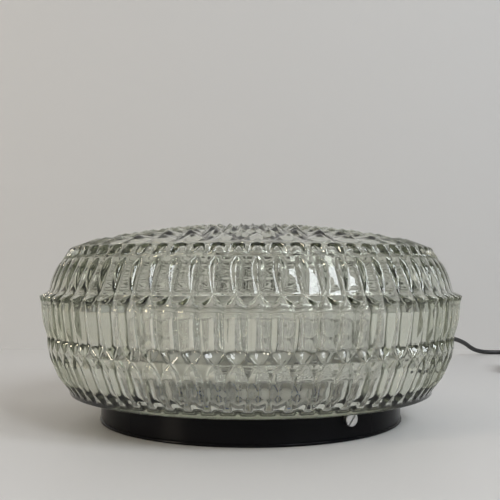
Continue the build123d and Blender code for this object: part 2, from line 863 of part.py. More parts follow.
with BuildPart() as terminal_tubes:
    with BuildSketch(Plane.YZ.offset(block_x - block_length / 2 + tube_inset)):
        with Locations(*[(y, floor_h + pole_h) for y in pole_ys]):
            Circle(tube_r)
            Circle(tube_bore_r, mode=Mode.SUBTRACT)
    extrude(amount=block_length - 2 * tube_inset)
    with BuildSketch(Plane.XY.offset(floor_h + pole_h)):
        with Locations(*clamp_points):
            Circle(clamp_screw_r + fit_gap)
    extrude(amount=2 * tube_r, mode=Mode.SUBTRACT)
terminal_tubes.part.label = "terminal_tubes"
export_step(terminal_tubes.part, "parts/terminal_tubes.step")

with BuildPart() as terminal_screws:
    with BuildSketch(Plane.XY.offset(clamp_low_h)):
        with Locations(*clamp_points):
            Circle(clamp_screw_r)
    extrude(amount=clamp_high_h - clamp_low_h)
    with BuildSketch(Plane.XY.offset(clamp_high_h)):
        with Locations(*clamp_points):
            Rectangle(3 * clamp_screw_r, clamp_screw_r / 2)
    extrude(amount=-clamp_screw_r, mode=Mode.SUBTRACT)
terminal_screws.part.label = "terminal_screws"
export_step(terminal_screws.part, "parts/terminal_screws.step")

with BuildPart() as block_screw:
    floor_screw(block_points, floor_h + block_h)
block_screw.part.label = "block_screw"
export_step(block_screw.part, "parts/block_screw.step")

# Rubber entry sleeve, the lead's sheathed tail through it, and the two-part cord grip
exit_plane = Plane(origin=polar(exit_angle, pan_r, exit_h), x_dir=polar(exit_angle, 1, 0), z_dir=exit_side)
collar_start = -sheet - sagitta(sleeve_flange_r, pan_r - sheet) - fit_gap
with BuildPart() as entry_sleeve:
    with BuildSketch(exit_plane):
        with BuildLine():
            Polyline(
                (collar_start - collar_h, cord_r + fit_gap),
                (collar_start - collar_h, sleeve_flange_r - collar_drop),
                (collar_start, sleeve_flange_r - collar_drop),
                (collar_start, sleeve_hole_r - fit_gap),
                (fit_gap, sleeve_hole_r - fit_gap),
                (fit_gap, sleeve_flange_r),
                (sleeve_flange_h, sleeve_flange_r),
                (sleeve_flange_h + sleeve_shoulder_h, sleeve_root_r),
                (sleeve_length, sleeve_tip_r),
                (sleeve_length, cord_r + fit_gap),
                close=True,
            )
        make_face()
    revolve(axis=exit_axis)
entry_sleeve.part.label = "entry_sleeve"
export_step(entry_sleeve.part, "parts/entry_sleeve.step")

with BuildPart() as cord_tail:
    with BuildSketch(radial_plane(exit_angle, tail_r, exit_h)):
        Circle(cord_r)
    extrude(amount=pan_r + sleeve_length - tail_r)
cord_tail.part.label = "cord_tail"
export_step(cord_tail.part, "parts/cord_tail.step")

grip_plane = Plane(origin=polar(exit_angle, grip_r, 0), x_dir=polar(exit_angle, 1, 0), z_dir=(0, 0, 1))
grip_groove_r = cord_r + fit_gap
grip_top_h = exit_h + cord_r + grip_cover
with BuildPart() as grip_base:
    with BuildSketch(grip_plane.offset(floor_h)):
        Rectangle(grip_length, grip_width)
        with Locations((0, -grip_hole_y), (0, grip_hole_y)):
            Circle(fixing_r + fit_gap, mode=Mode.SUBTRACT)
    extrude(amount=exit_h - floor_h - fit_gap)
    with BuildSketch(radial_plane(exit_angle, grip_r - grip_length, exit_h)):
        Circle(grip_groove_r)
    extrude(amount=2 * grip_length, mode=Mode.SUBTRACT)
grip_base.part.label = "grip_base"
export_step(grip_base.part, "parts/grip_base.step")

with BuildPart() as grip_strap:
    with BuildSketch(grip_plane.offset(exit_h)):
        Rectangle(grip_length, grip_width)
        with Locations((0, -grip_hole_y), (0, grip_hole_y)):
            Circle(fixing_r + fit_gap, mode=Mode.SUBTRACT)
    extrude(amount=grip_top_h - exit_h)
    with BuildSketch(radial_plane(exit_angle, grip_r - grip_length, exit_h)):
        Circle(grip_groove_r)
    extrude(amount=2 * grip_length, mode=Mode.SUBTRACT)
grip_strap.part.label = "grip_strap"
export_step(grip_strap.part, "parts/grip_strap.step")

with BuildPart() as grip_screws:
    floor_screw(grip_points, grip_top_h)
grip_screws.part.label = "grip_screws"
export_step(grip_screws.part, "parts/grip_screws.step")


def corner_radii(points):
    """The largest arcs that the runs of a loose lead allow, one for each corner."""
    radii = []
    for before, corner, after in zip(points, points[1:], points[2:]):
        run_in, run_out = Vector(*corner) - Vector(*before), Vector(*after) - Vector(*corner)
        half_turn = radians(run_in.get_angle(run_out)) / 2
        radii.append(corner_share * min(run_in.length, run_out.length) / tan(half_turn))
    return radii


def tube(points, radius, bend_r=0.0):
    """A round tube along straight runs and tangent arcs, wide ones unless a bend radius is given."""
    with BuildLine() as route:
        FilletPolyline(*points, radius=bend_r or corner_radii(points))
    path = route.wire()
    with BuildSketch(Plane(origin=path @ 0, z_dir=path % 0)) as section:
        Circle(radius)
    sweep(section.sketch, path=path)
    return path.length


# Wires inside the pan, from the lead's two cores to the block and from the block to the holder
pole_z = floor_h + pole_h
tail_end = polar(exit_angle, tail_r, exit_h)
block_end_x = block_x + block_length / 2
for name, side, pole_y in (("cord_core_brown", 1, pole_ys[1]), ("cord_core_blue", -1, pole_ys[0])):
    with BuildPart() as cord_core:
        core_start = tail_end + exit_side * side * core_side
        tube(
            [
                core_start,
                core_start - polar(exit_angle, core_free, 0),
                (block_end_x + core_free, pole_y, pole_z),
                (block_end_x - wire_insert, pole_y, pole_z),
            ],
            wire_r,
            core_bend_r,
        )
    cord_core.part.label = name
    export_step(cord_core.part, f"parts/{name}.step")

wire_x = holder_back_x + terminal_inset
wire_start_x = block_x - block_length / 2 + wire_insert
wire_end_y = holder_back_r - terminal_depth
for name, rise, pole_y in (
    ("holder_wire_brown", terminal_rise, pole_ys[1]),
    ("holder_wire_blue", -terminal_rise, pole_ys[0]),
):
    with BuildPart() as holder_wire:
        tube(
            [
                (wire_start_x, pole_y, pole_z),
                (wire_start_x - 1.5 * wire_straight, pole_y, pole_z),
                (wire_x + wire_arch_x, pole_y - wire_shift / 4, pole_z + wire_arch_rise),
                (wire_x + wire_climb_x, pole_y - wire_shift, lamp_h + 2 * rise - wire_sag),
                (wire_x, pole_y - 2 * wire_shift, lamp_h + rise),
                (wire_x, wire_end_y, lamp_h + rise),
            ],
            wire_r,
            core_bend_r,
        )
    holder_wire.part.label = name
    export_step(holder_wire.part, f"parts/{name}.step")

# Earth wire from the third pole to a ring tag under its own screw
tongue_end_x = earth_x + tag_r + tag_tongue_length
with BuildPart() as earth_tag:
    with BuildSketch(Plane.XY.offset(floor_h)):
        with Locations((tongue_end_x - (tag_r + tag_tongue_length) / 2, earth_y)):
            Rectangle(tag_r + tag_tongue_length, tag_tongue_width)
        with Locations((earth_x, earth_y)):
            Circle(tag_r)
            Circle(fixing_r + fit_gap, mode=Mode.SUBTRACT)
    extrude(amount=tag_h)
earth_tag.part.label = "earth_tag"
export_step(earth_tag.part, "parts/earth_tag.step")

with BuildPart() as earth_screw:
    floor_screw(earth_points, floor_h + tag_h)
earth_screw.part.label = "earth_screw"
export_step(earth_screw.part, "parts/earth_screw.step")

tag_z = floor_h + tag_h + wire_r
with BuildPart() as earth_wire:
    tube(
        [
            (wire_start_x, pole_ys[2], pole_z),
            (wire_start_x - wire_straight, pole_ys[2], pole_z),
            (tongue_end_x + wire_straight / 2, earth_y, tag_z),
            (tongue_end_x - tag_tongue_length + wire_r, earth_y, tag_z),
        ],
        wire_r,
        core_bend_r,
    )
earth_wire.part.label = "earth_wire"
export_step(earth_wire.part, "parts/earth_wire.step")

# The lead from the lamp to its switch: down to the table, a springy arch, then round to the side
sleeve_end = polar(exit_angle, pan_r + sleeve_length, exit_h)
switch_way = Vector(cos(radians(switch_heading)), sin(radians(switch_heading)), 0)
switch_middle = Vector(switch_x, switch_y, 0)
switch_entry = switch_middle - switch_way * (switch_length / 2) + Vector(0, 0, switch_axis_h)
switch_exit = switch_middle + switch_way * (switch_length / 2) + Vector(0, 0, switch_axis_h)
lead_points = [
    sleeve_end,
    sleeve_end + polar(exit_angle, sleeve_straight, 0),
    (98, 141, 5.4),
    (112, 168, 3.0),
    (130, 199, cord_r),
    (147, 232, cord_r),
    (163, 262, 3.2),
    (183, 289, 8.5),
    (205, 316, 18.5),
    (227, 342, 24.5),
    (248, 367, 17.5),
    (264, 385, 7),
    (281, 397, cord_r),
    (303, 399, cord_r),
    (321, 386, cord_r),
    (327, 364, cord_r),
    (322, 338, cord_r),
    (309, 313, 4),
    switch_entry - switch_way * switch_straight,
    switch_entry,
]
with BuildPart() as lamp_lead:
    lead_length = tube(lead_points, cord_r)
lamp_lead.part.label = "lamp_lead"
export_step(lamp_lead.part, "parts/lamp_lead.step")
print("lead to the switch", round(lead_length), "mm, least bend", round(min(corner_radii(lead_points)), 1))
print("volume share", round(lamp_lead.part.volume / (pi * cord_r**2 * lead_length), 4))

# The coil: in at the table, spiralling in, up a layer and out again on top
coil_pitch = 2 * cord_r + coil_gap
coil_low_h = cord_r + coil_lift
coil_high_h = coil_low_h + coil_pitch
quarter_count = ceil(coil_turns * 4)


def coil_point(turn):
    """A point of the coil's middle line, counted in turns from its outer end."""
    radius = coil_inner_r + coil_pitch * abs(turn - coil_turns / 2)
    climb = min(max(2 * (turn - coil_turns / 2) + 0.5, 0), 1)
    height = coil_low_h + (coil_high_h - coil_low_h) * climb**2 * (3 - 2 * climb)
    return Vector(coil_x, coil_y, 0) + polar(180 + 360 * turn, radius, height)


def coil_way(turn):
    """The coil's direction there."""
    step = 0.01
    return (coil_point(turn + step) - coil_point(turn - step)).normalized()


def biarc(start, start_way, end, end_way):
    """Two arcs that meet smoothly and leave and arrive in the given directions."""
    chord = end - start
    both = start_way + end_way
    factor = both.dot(both) - 4
    reach = (chord.dot(both) - sqrt(chord.dot(both) ** 2 - factor * chord.dot(chord))) / factor
    middle = (start + start_way * reach + end - end_way * reach) * 0.5
    first = TangentArc(start, middle, tangent=start_way)
    TangentArc(middle, end, tangent=first % 1)


coil_start = coil_point(0) - coil_way(0) * 2 * cord_r
coil_end = coil_point(coil_turns) + coil_way(coil_turns) * coil_tail
with BuildPart() as cord_coil:
    with BuildLine() as coil_route:
        Line(coil_start, coil_point(0))
        for quarter in range(quarter_count):
            turn_0 = coil_turns * quarter / quarter_count
            turn_1 = coil_turns * (quarter + 1) / quarter_count
            biarc(coil_point(turn_0), coil_way(turn_0), coil_point(turn_1), coil_way(turn_1))
        Line(coil_point(coil_turns), coil_end)
    coil_path = coil_route.wire()
    with BuildSketch(Plane(origin=coil_start, z_dir=coil_way(0))):
        Circle(cord_r)
    sweep(path=coil_path)
cord_coil.part.label = "cord_coil"
export_step(cord_coil.part, "parts/cord_coil.step")

samples_per_turn = 48
samples = [coil_point(count / samples_per_turn) for count in range(int(coil_turns * samples_per_turn) + 1)]
gaps = [
    (samples[first] - samples[second]).length - 2 * cord_r
    for first in range(len(samples))
    for second in range(first + samples_per_turn // 2, len(samples))
]
print("coil", round(coil_path.length), "mm, least gap to itself", round(min(gaps), 2))

side_points = [
    switch_exit,
    switch_exit + switch_way * side_straight,
    (242, 152, 3.4),
    (228, 122, cord_r),
    (217, 88, coil_low_h),
    coil_start - coil_way(0) * coil_lead_in,
    coil_start,
]
with BuildPart() as coil_lead:
    side_length = tube(side_points, cord_r)
coil_lead.part.label = "coil_lead"
export_step(coil_lead.part, "parts/coil_lead.step")
print("lead to the coil", round(side_length), "mm, least bend", round(min(corner_radii(side_points)), 1))
print("volume share", round(coil_lead.part.volume / (pi * cord_r**2 * side_length), 4))

# Tie round the coil's turns
crossings = [coil_point(tie_turn + count) for count in range(ceil(coil_turns - tie_turn))]
tie_radii = [(crossing - Vector(coil_x, coil_y, crossing.Z)).length for crossing in crossings]
tie_inner = min(tie_radii) - cord_r - tie_gap
tie_outer = max(tie_radii) + cord_r + tie_gap
tie_low = coil_low_h - cord_r - tie_gap
tie_high = coil_high_h + cord_r + tie_gap
with BuildPart() as cord_tie:
    with BuildSketch(Plane(origin=(coil_x, coil_y, 0), x_dir=(0, -1, 0), z_dir=(-1, 0, 0))):
        with Locations(((tie_inner + tie_outer) / 2, (tie_low + tie_high) / 2)):
            RectangleRounded(tie_outer - tie_inner + 2 * tie_wall, tie_high - tie_low + 2 * tie_wall, cord_r)
            RectangleRounded(tie_outer - tie_inner, tie_high - tie_low, cord_r - tie_wall, mode=Mode.SUBTRACT)
    extrude(amount=tie_width / 2, both=True)
cord_tie.part.label = "cord_tie"
export_step(cord_tie.part, "parts/cord_tie.step")

# Switch on the lead: two shells, a rocker on its axle, contacts, cores and screws
switch_plane = Plane(origin=switch_middle, x_dir=switch_way, z_dir=(0, 0, 1))
switch_screw_x = switch_length / 2 - switch_screw_inset

inner_length = switch_length - 4 * switch_wall
inner_width = switch_width - 2 * switch_wall

with BuildPart() as switch_base:
    with BuildSketch(switch_plane):
        RectangleRounded(switch_length, switch_width, shell_corner_r)
    extrude(amount=switch_split_h)
    chamfer(switch_base.edges().group_by(Axis.Z)[0], switch_wall / 2)
    with BuildSketch(switch_plane.offset(switch_wall)):
        RectangleRounded(inner_length, inner_width, shell_corner_r - switch_wall)
    extrude(amount=switch_split_h, mode=Mode.SUBTRACT)
    with BuildSketch(switch_plane):
        with GridLocations(2 * switch_screw_x, 0, 2, 1):
            Circle(switch_boss_r)
    extrude(amount=switch_split_h)
    with BuildSketch(switch_plane):
        with GridLocations(2 * switch_screw_x, 0, 2, 1):
            Circle(switch_screw_r + fit_gap)
    extrude(amount=switch_split_h, mode=Mode.SUBTRACT)
    with BuildSketch(switch_plane):
        with GridLocations(2 * switch_screw_x, 0, 2, 1):
            Circle(switch_screw_head_r + fit_gap)
    extrude(amount=switch_wall, mode=Mode.SUBTRACT)
switch_base.part.label = "switch_base"
export_step(switch_base.part, "parts/switch_base.step")

window_length = rocker_length + 2 * rocker_gap
window_width = rocker_width + 2 * rocker_gap
boss_low_h = rocker_axle_h - 2 * rocker_axle_r
with BuildPart() as switch_cover:
    with BuildSketch(switch_plane.offset(switch_split_h)):
        RectangleRounded(switch_length, switch_width, shell_corner_r)
    extrude(amount=switch_h - switch_split_h)
    fillet(switch_cover.edges().group_by(Axis.Z)[-1], shell_edge_r)
    with BuildSketch(switch_plane.offset(switch_split_h)):
        RectangleRounded(inner_length, inner_width, shell_corner_r - switch_wall)
    extrude(amount=switch_h - switch_split_h - switch_wall, mode=Mode.SUBTRACT)
    with BuildSketch(switch_plane.offset(switch_split_h)):
        with GridLocations(2 * switch_screw_x, 0, 2, 1):
            Circle(switch_boss_r)
    extrude(amount=switch_h - switch_split_h - switch_wall / 2)
    with BuildSketch(switch_plane.offset(boss_low_h)):
        with GridLocations(0, window_width + axle_boss, 1, 2):
            Rectangle(4 * rocker_axle_r, axle_boss)
    extrude(amount=switch_h - switch_wall / 2 - boss_low_h)
    with BuildSketch(switch_plane.offset(switch_split_h)):
        Rectangle(window_length, window_width)
    extrude(amount=switch_h, mode=Mode.SUBTRACT)
    with Locations(switch_plane * Pos(0, 0, rocker_axle_h) * Rot(90, 0, 0)):
        Cylinder(rocker_axle_r + fit_gap, window_width + 2 * axle_boss, mode=Mode.SUBTRACT)
    with BuildSketch(switch_plane.offset(switch_split_h)):
        with GridLocations(2 * switch_screw_x, 0, 2, 1):
            Circle(switch_screw_r + fit_gap)
    extrude(amount=switch_screw_bite + switch_screw_sink, mode=Mode.SUBTRACT)
switch_cover.part.label = "switch_cover"
export_step(switch_cover.part, "parts/switch_cover.step")

# The rocker rests tilted to its off side
rocker_plane = switch_plane * Pos(0, 0, rocker_axle_h) * Rot(0, -rocker_tilt, 0) * Rot(90, 0, 0)
rocker_top = switch_h - rocker_axle_h + rocker_rise
rocker_half = rocker_length / 2
with BuildPart() as rocker:
    with BuildSketch(rocker_plane) as rocker_profile:
        with BuildLine():
            Polyline(
                (-rocker_half, rocker_top),
                (0, rocker_top - rocker_dip),
                (rocker_half, rocker_top),
                (rocker_half - rocker_taper, 0),
                (rocker_foot_half, -rocker_foot_h),
                (-rocker_foot_half, -rocker_foot_h),
                (-rocker_half + rocker_taper, 0),
                close=True,
            )
        make_face()
        fillet(rocker_profile.vertices().group_by(Axis.Y)[-1], rocker_edge_r)
    extrude(amount=rocker_width / 2, both=True)
    with BuildSketch(rocker_plane):
        Circle(rocker_axle_r)
    extrude(amount=window_width / 2 + axle_boss - fit_gap, both=True)
rocker.part.label = "rocker"
export_step(rocker.part, "parts/rocker.step")

with BuildPart() as switch_screws:
    with BuildSketch(switch_plane.offset(switch_screw_sink)):
        with GridLocations(2 * switch_screw_x, 0, 2, 1):
            Circle(switch_screw_head_r)
    extrude(amount=switch_wall - switch_screw_sink)
    with BuildSketch(switch_plane.offset(switch_screw_sink)):
        with GridLocations(2 * switch_screw_x, 0, 2, 1):
            Rectangle(3 * switch_screw_head_r, switch_slot_width, rotation=slot_tilt)
    extrude(amount=switch_slot_width, mode=Mode.SUBTRACT)
    with BuildSketch(switch_plane.offset(switch_wall)):
        with GridLocations(2 * switch_screw_x, 0, 2, 1):
            Circle(switch_screw_r)
    extrude(amount=switch_split_h - switch_wall + switch_screw_bite)
switch_screws.part.label = "switch_screws"
export_step(switch_screws.part, "parts/switch_screws.step")

upright_x = contact_x - contact_length / 2 + contact_sheet / 2
with BuildPart() as switch_contacts:
    with BuildSketch(switch_plane * Pos(0, -contact_side, 0) * Rot(90, 0, 0)):
        for side in (-1, 1):
            with Locations((side * contact_x, switch_wall + contact_sheet / 2)):
                Rectangle(contact_length, contact_sheet)
            with Locations((side * upright_x, switch_wall + contact_rise / 2)):
                Rectangle(contact_sheet, contact_rise)
    extrude(amount=contact_width / 2, both=True)
switch_contacts.part.label = "switch_contacts"
export_step(switch_contacts.part, "parts/switch_contacts.step")

# One core runs straight through, the other is cut at the contacts
core_reach = inner_length / 2 - core_end_gap
cut_start = contact_x + contact_length / 2 + fit_gap
cut_middle = (core_reach + cut_start) / 2
core_z = switch_wall + wire_r
with BuildPart() as switch_cores:
    with Locations(switch_plane * Pos(0, contact_side, core_z) * Rot(0, 90, 0)):
        Cylinder(wire_r, 2 * core_reach)
    for side in (-1, 1):
        with Locations(switch_plane * Pos(side * cut_middle, -contact_side, core_z) * Rot(0, 90, 0)):
            Cylinder(wire_r, core_reach - cut_start)
switch_cores.part.label = "switch_cores"
export_step(switch_cores.part, "parts/switch_cores.step")

# Two-pin plug at the coil's end, lying on the table
plug_way = coil_way(coil_turns)
plug_start = coil_end
plug_h = 2 * coil_high_h
plug_plane = Plane(origin=plug_start, x_dir=plug_way, z_dir=(0, 0, 1))
plug_axis = Axis(plug_start, plug_way)
plug_side = plug_way.cross(Vector(0, 0, 1))
plug_face = Plane(origin=plug_start + plug_way * (boot_length + plug_length), x_dir=plug_side, z_dir=plug_way)
boot_profile = Plane(origin=plug_start, x_dir=plug_way, z_dir=plug_side)
with BuildPart() as plug_boot:
    with BuildSketch(boot_profile):
        with BuildLine():
            Polyline((0, 0), (0, sleeve_tip_r), (boot_length, sleeve_root_r), (boot_length, 0), close=True)
        make_face()
    revolve(axis=plug_axis)
plug_boot.part.label = "plug_boot"
export_step(plug_boot.part, "parts/plug_boot.step")

with BuildPart() as plug_body:
    with BuildSketch(plug_plane.offset(-plug_h / 2)):
        with BuildLine():
            Polyline(
                (boot_length, -sleeve_root_r),
                (boot_length, sleeve_root_r),
                (boot_length + plug_taper, plug_back_width / 2),
                (boot_length + plug_length - plug_grip, plug_width / 2),
                (boot_length + plug_length, plug_width / 2),
                (boot_length + plug_length, -plug_width / 2),
                (boot_length + plug_length - plug_grip, -plug_width / 2),
                (boot_length + plug_taper, -plug_back_width / 2),
                close=True,
            )
        make_face()
    extrude(amount=plug_h)
    rim_edges = plug_body.edges().group_by(Axis.Z)
    fillet(rim_edges[0] + rim_edges[-1], plug_edge_r)
    with BuildSketch(plug_face):
        with GridLocations(pin_spacing, 0, 2, 1):
            Circle(pin_r + fit_gap)
    extrude(amount=-pin_root, mode=Mode.SUBTRACT)
plug_body.part.label = "plug_body"
export_step(plug_body.part, "parts/plug_body.step")

with BuildPart() as plug_pins:
    with BuildSketch(plug_face.offset(-pin_root)):
        with GridLocations(pin_spacing, 0, 2, 1):
            Circle(pin_r)
    extrude(amount=pin_root + pin_length)
    fillet(plug_pins.edges().filter_by(GeomType.CIRCLE).sort_by(plug_axis)[-2:], pin_edge_r)
plug_pins.part.label = "plug_pins"
export_step(plug_pins.part, "parts/plug_pins.step")
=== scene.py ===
"""The looks of the pressed-glass lamp: camera, lead, fine shade, materials and light. Metres, +Z up."""

import json
from math import cos, pi, radians, sin, sqrt

import bpy
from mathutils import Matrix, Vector


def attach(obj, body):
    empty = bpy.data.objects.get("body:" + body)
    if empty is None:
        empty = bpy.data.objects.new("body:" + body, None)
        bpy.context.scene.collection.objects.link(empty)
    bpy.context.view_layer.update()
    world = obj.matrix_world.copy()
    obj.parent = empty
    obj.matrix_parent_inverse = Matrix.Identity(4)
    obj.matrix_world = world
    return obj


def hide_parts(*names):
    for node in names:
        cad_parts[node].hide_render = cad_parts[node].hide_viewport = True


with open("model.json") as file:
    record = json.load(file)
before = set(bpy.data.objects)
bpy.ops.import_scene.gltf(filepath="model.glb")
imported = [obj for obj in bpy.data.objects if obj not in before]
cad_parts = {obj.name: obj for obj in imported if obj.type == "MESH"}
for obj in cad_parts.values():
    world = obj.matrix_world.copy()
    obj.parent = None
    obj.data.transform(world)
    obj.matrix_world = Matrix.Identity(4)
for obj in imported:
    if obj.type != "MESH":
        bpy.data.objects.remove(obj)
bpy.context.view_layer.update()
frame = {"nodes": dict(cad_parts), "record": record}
nodes = frame["nodes"]
mm = 0.001

# Camera: level, in front of the lamp's axis
picture_px = 500
focal_px = 768
camera_data = bpy.data.cameras.new("photo_camera")
camera_data.sensor_width = 36
camera_data.lens = camera_data.sensor_width * focal_px / picture_px
camera_data.shift_x = -0.73 / picture_px
camera_data.shift_y = 24 / picture_px
camera = bpy.data.objects.new("photo_camera", camera_data)
camera.location = (0, -0.5276, 0.0967)
camera.rotation_euler = (radians(90), 0, 0)
bpy.context.collection.objects.link(camera)
bpy.context.scene.camera = camera
bpy.context.scene.view_settings.view_transform = "Standard"


# Materials
def material(name):
    """A node material, with its tree and its shader."""
    made = bpy.data.materials.new(name)
    made.use_nodes = True
    tree = made.node_tree
    shader = tree.nodes["Principled BSDF"]
    return made, tree, shader


def add_node(tree, kind, **values):
    """A node with its settings and unlinked inputs."""
    node = tree.nodes.new(kind)
    for key, value in values.items():
        if hasattr(node, key):
            setattr(node, key, value)
        else:
            node.inputs[key.replace("_", " ")].default_value = value
    return node


def noise(tree, scale, detail=3.0, stretch=(1, 1, 1)):
    """Noise in object space, as a value from 0 to 1."""
    place = add_node(tree, "ShaderNodeTexCoord")
    mapping = add_node(tree, "ShaderNodeMapping")
    mapping.inputs["Scale"].default_value = stretch
    cloud = add_node(tree, "ShaderNodeTexNoise", Scale=scale, Detail=detail)
    tree.links.new(place.outputs["Object"], mapping.inputs["Vector"])
    tree.links.new(mapping.outputs["Vector"], cloud.inputs["Vector"])
    return cloud.outputs["Fac"]


def ramp(tree, value, stops):
    """Colours along a value."""
    node = add_node(tree, "ShaderNodeValToRGB")
    for index, (place, colour) in enumerate(stops):
        stop = node.color_ramp.elements[index] if index < 2 else node.color_ramp.elements.new(place)
        stop.position = place
        stop.color = (*colour, 1)
    tree.links.new(value, node.inputs["Fac"])
    return node.outputs["Color"]


def spread(tree, value, low, high):
    """A value from 0 to 1 mapped to a range."""
    node = add_node(tree, "ShaderNodeMapRange")
    node.inputs["To Min"].default_value = low
    node.inputs["To Max"].default_value = high
    tree.links.new(value, node.inputs["Value"])
    return node.outputs["Result"]


def bump(tree, shader, value, strength, distance):
    """Relief from a value."""
    node = add_node(tree, "ShaderNodeBump", Strength=strength, Distance=distance)
    tree.links.new(value, node.inputs["Height"])
    tree.links.new(node.outputs["Normal"], shader.inputs["Normal"])


def surface(name, dark, light, rough, scale=90, metal=0.0, grain=0.05, stretch=(1, 1, 1), coat=0.0):
    """A surface whose colour, gloss and relief vary a little."""
    made, tree, shader = material(name)
    cloud = noise(tree, scale, 4, stretch)
    tree.links.new(ramp(tree, cloud, [(0.3, dark), (0.7, light)]), shader.inputs["Base Color"])
    tree.links.new(spread(tree, noise(tree, scale / 4, 3), rough[0], rough[1]), shader.inputs["Roughness"])
    shader.inputs["Metallic"].default_value = metal
    shader.inputs["Coat Weight"].default_value = coat
    shader.inputs["Coat Roughness"].default_value = 0.06
    bump(tree, shader, noise(tree, scale * 6, 2, stretch), grain, 0.0003)
    return made


def glass(name, colour, rough=0.0, ior=1.5, wave=0.0, wave_scale=40, body=None, density=0.0):
    """Clear glass, a little uneven as pressed glass is, and tinted through its thickness."""
    made, tree, shader = material(name)
    shader.inputs["Base Color"].default_value = (*colour, 1)
    shader.inputs["Roughness"].default_value = rough
    shader.inputs["IOR"].default_value = ior
    shader.inputs["Transmission Weight"].default_value = 1
    if wave:
        bump(tree, shader, noise(tree, wave_scale, 2), wave, 0.001)
    if body:
        tint = add_node(tree, "ShaderNodeVolumeAbsorption", Density=density)
        tint.inputs["Color"].default_value = (*body, 1)
        tree.links.new(tint.outputs["Volume"], tree.nodes["Material Output"].inputs["Volume"])
    return made


def math_node(tree, operation, first, second):
    """The result of an operation on two values, each a socket or a number."""
    node = tree.nodes.new("ShaderNodeMath")
    node.operation = operation
    for socket, value in zip(node.inputs, (first, second)):
        if isinstance(value, (int, float)):
            socket.default_value = value
        else:
            tree.links.new(value, socket)
    return node.outputs["Value"]


# The middle of the pan's pressed sheet, in metres: its wall's radius, its floor's height, and both for its foot
sheet_wall_r = 0.1003
sheet_floor_h = 0.0021
sheet_foot_r = 0.0915
sheet_foot_h = 0.0006


def pan_lacquer():
    """Black outside, white inside: the split follows the middle of the pressed sheet."""
    made, tree, shader = material("black_lacquer")
    place = add_node(tree, "ShaderNodeTexCoord")
    split = add_node(tree, "ShaderNodeSeparateXYZ")
    tree.links.new(place.outputs["Object"], split.inputs["Vector"])
    across = math_node(tree, "MULTIPLY", split.outputs["X"], split.outputs["X"])
    along = math_node(tree, "MULTIPLY", split.outputs["Y"], split.outputs["Y"])
    radius = math_node(tree, "SQRT", math_node(tree, "ADD", across, along), 0.0)
    inside_wall = math_node(tree, "LESS_THAN", radius, sheet_wall_r)
    over_floor = math_node(tree, "GREATER_THAN", split.outputs["Z"], sheet_floor_h)
    over_foot = math_node(tree, "GREATER_THAN", split.outputs["Z"], sheet_foot_h)
    at_foot = math_node(tree, "GREATER_THAN", radius, sheet_foot_r)
    over_sheet = math_node(tree, "MAXIMUM", over_floor, math_node(tree, "MULTIPLY", over_foot, at_foot))
    inside = math_node(tree, "MULTIPLY", inside_wall, over_sheet)
    black_to_white = ramp(tree, inside, [(0.4, (0.005, 0.005, 0.006)), (0.6, (0.72, 0.71, 0.68))])
    tree.links.new(black_to_white, shader.inputs["Base Color"])
    tree.links.new(spread(tree, noise(tree, 15), 0.14, 0.26), shader.inputs["Roughness"])
    shader.inputs["Specular IOR Level"].default_value = 0.06
    return made


# For each slot the function that makes it and what it is given
look_table = {
    "shade_glass": (glass, (0.98, 0.98, 0.97), 0.004, 1.52, 0.05, 60, (0.82, 0.835, 0.77), 96.0),
    "zinc_steel": (surface, (0.50, 0.50, 0.50), (0.68, 0.68, 0.67), (0.22, 0.4), 300, 1.0, 0.1),
    "white_porcelain": (surface, (0.82, 0.81, 0.78), (0.88, 0.87, 0.84), (0.08, 0.2), 40),
    "brass": (surface, (0.62, 0.45, 0.20), (0.78, 0.60, 0.31), (0.2, 0.38), 250, 1.0),
    "nickel_brass": (surface, (0.62, 0.60, 0.56), (0.74, 0.72, 0.68), (0.16, 0.3), 200, 1.0),
    "cap_metal": (surface, (0.58, 0.57, 0.55), (0.72, 0.71, 0.69), (0.25, 0.4), 250, 1.0),
    "dark_insulator": (surface, (0.012, 0.012, 0.016), (0.03, 0.03, 0.035), (0.08, 0.2)),
    "bulb_glass": (glass, (0.97, 0.97, 0.96), 0.0, 1.45),
    "filament_wire": (surface, (0.2, 0.19, 0.18), (0.32, 0.31, 0.3), (0.3, 0.5), 400, 1.0),
    "cream_plastic": (surface, (0.76, 0.73, 0.64), (0.84, 0.81, 0.72), (0.35, 0.5), 60),
    "black_rubber": (surface, (0.014, 0.014, 0.014), (0.03, 0.03, 0.03), (0.55, 0.75), 120, 0, 0.12),
    "black_sheath": (surface, (0.006, 0.006, 0.007), (0.014, 0.014, 0.015), (0.4, 0.55), 150, 0, 0.08),
    "black_plastic": (surface, (0.018, 0.018, 0.019), (0.032, 0.032, 0.033), (0.4, 0.55), 500, 0, 0.2),
    "black_gloss_plastic": (surface, (0.02, 0.02, 0.02), (0.035, 0.035, 0.036), (0.15, 0.28)),
    "brown_insulation": (surface, (0.15, 0.06, 0.03), (0.24, 0.11, 0.05), (0.35, 0.5), 200),
    "blue_insulation": (surface, (0.03, 0.11, 0.34), (0.06, 0.18, 0.48), (0.35, 0.5), 200),
    "green_insulation": (surface, (0.16, 0.34, 0.04), (0.45, 0.5, 0.05), (0.35, 0.5), 30),
}
looks = {slot: make(slot, *values) for slot, (make, *values) in look_table.items()}
looks["black_lacquer"] = pan_lacquer()

for entry in frame["record"]["subparts"]:
    node_mesh = nodes[entry["node"]].data
    node_mesh.materials.clear()
    node_mesh.materials.append(looks[entry["material_slot"]])


# The lead in two stretches, with the same points as the solids' routes
def polar(angle, radius, height):
    """The point at an angle in degrees about the lamp's axis, in millimetres."""
    return Vector((radius * cos(radians(angle)), radius * sin(radians(angle)), height))


